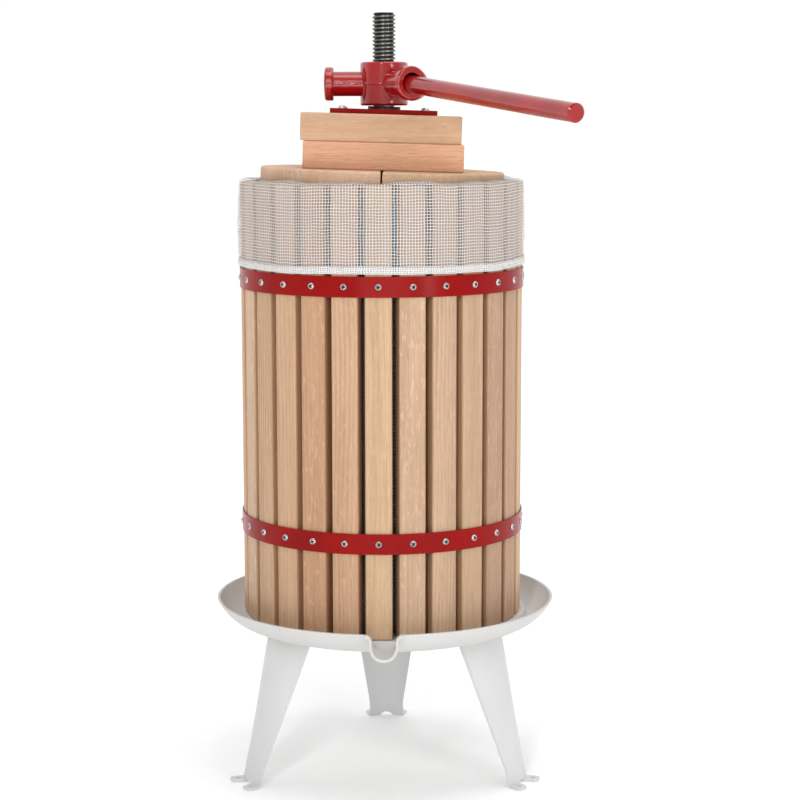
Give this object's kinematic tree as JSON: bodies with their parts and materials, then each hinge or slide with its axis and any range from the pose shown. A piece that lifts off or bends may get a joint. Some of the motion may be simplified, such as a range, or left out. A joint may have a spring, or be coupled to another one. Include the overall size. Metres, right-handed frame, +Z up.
{
  "type": "basket wine press",
  "caption": "Screw press with a slatted wooden basket, mesh bag, wooden pressing boards and a bar-turned nut on a central spindle, over a three-legged drip tray with a pouring lip.",
  "frame": {"origin": "on the floor, on the axis of the spindle, midway between the three feet", "axes": "+Z up along the spindle, -Y to the front where the pouring lip is, +X to the right seen from the front"},
  "size_m": [0.3615, 0.5108, 0.8036],
  "materials": {
    "white_enamel": "glossy white enamel on pressed sheet steel",
    "red_paint": "glossy red powder coat on cast iron and flat steel",
    "spindle_steel": "dark oiled cut thread",
    "bright_steel": "bright zinc plated",
    "stave_wood": "planed bare oak and beech slats",
    "board_wood": "planed bare beech board",
    "block_wood": "planed bare beech blocks",
    "bag_mesh": "white open polyester mesh with a sewn hem"
  },
  "bodies": {
    "stand": {"drip_tray": "white_enamel", "leg_back": "white_enamel", "leg_front_left": "white_enamel", "leg_front_right": "white_enamel", "leg_bolts": "bright_steel", "leg_nuts": "bright_steel", "spindle": "spindle_steel", "spindle_washer_upper": "bright_steel", "spindle_washer_lower": "bright_steel", "spindle_nut_upper": "bright_steel", "spindle_nut_lower": "bright_steel"},
    "basket": {"stave_01": "stave_wood", "stave_02": "stave_wood", "stave_03": "stave_wood", "stave_04": "stave_wood", "stave_05": "stave_wood", "stave_06": "stave_wood", "stave_07": "stave_wood", "stave_08": "stave_wood", "stave_09": "stave_wood", "stave_10": "stave_wood", "stave_11": "stave_wood", "stave_12": "stave_wood", "stave_13": "stave_wood", "stave_14": "stave_wood", "stave_15": "stave_wood", "stave_16": "stave_wood", "stave_17": "stave_wood", "stave_18": "stave_wood", "stave_19": "stave_wood", "stave_20": "stave_wood", "stave_21": "stave_wood", "stave_22": "stave_wood", "stave_23": "stave_wood", "stave_24": "stave_wood", "stave_25": "stave_wood", "stave_26": "stave_wood", "stave_27": "stave_wood", "hoop_upper": "red_paint", "hoop_lower": "red_paint", "hoop_screws_upper": "bright_steel", "hoop_screws_lower": "bright_steel", "press_bag": "bag_mesh"},
    "boards": {"half_disc_left": "board_wood", "half_disc_right": "board_wood", "lower_beam_front": "block_wood", "lower_beam_back": "block_wood", "upper_beam_front": "block_wood", "upper_beam_back": "block_wood", "thrust_plate": "red_paint", "thrust_plate_screws": "bright_steel", "thrust_washer": "spindle_steel"},
    "press_nut": {"press_nut": "red_paint"},
    "handle_bar": {"handle_bar": "red_paint"}
  },
  "joints": [
    {"name": "head_travel", "type": "slide", "parent": "stand", "child": "boards", "axis": [0, 0, 1], "range_m": [-0.048, 0.048]},
    {"name": "nut_spin", "type": "hinge", "parent": "boards", "child": "press_nut", "pos_m": [0, 0, 0.7305], "axis": [0, 0, 1], "range_deg": [-4320, 4320]},
    {"name": "bar_slide", "type": "slide", "parent": "press_nut", "child": "handle_bar", "axis": [0.4674, -0.879, -0.0941], "range_m": [0, 0.031]},
    {"name": "basket_lift", "type": "slide", "parent": "stand", "child": "basket", "axis": [0, 0, 1], "range_m": [0, 0.03]}
  ],
  "couplings": [
    {"joint": "head_travel", "follows": "nut_spin", "m_per_rad": 0.00063662}
  ]
}
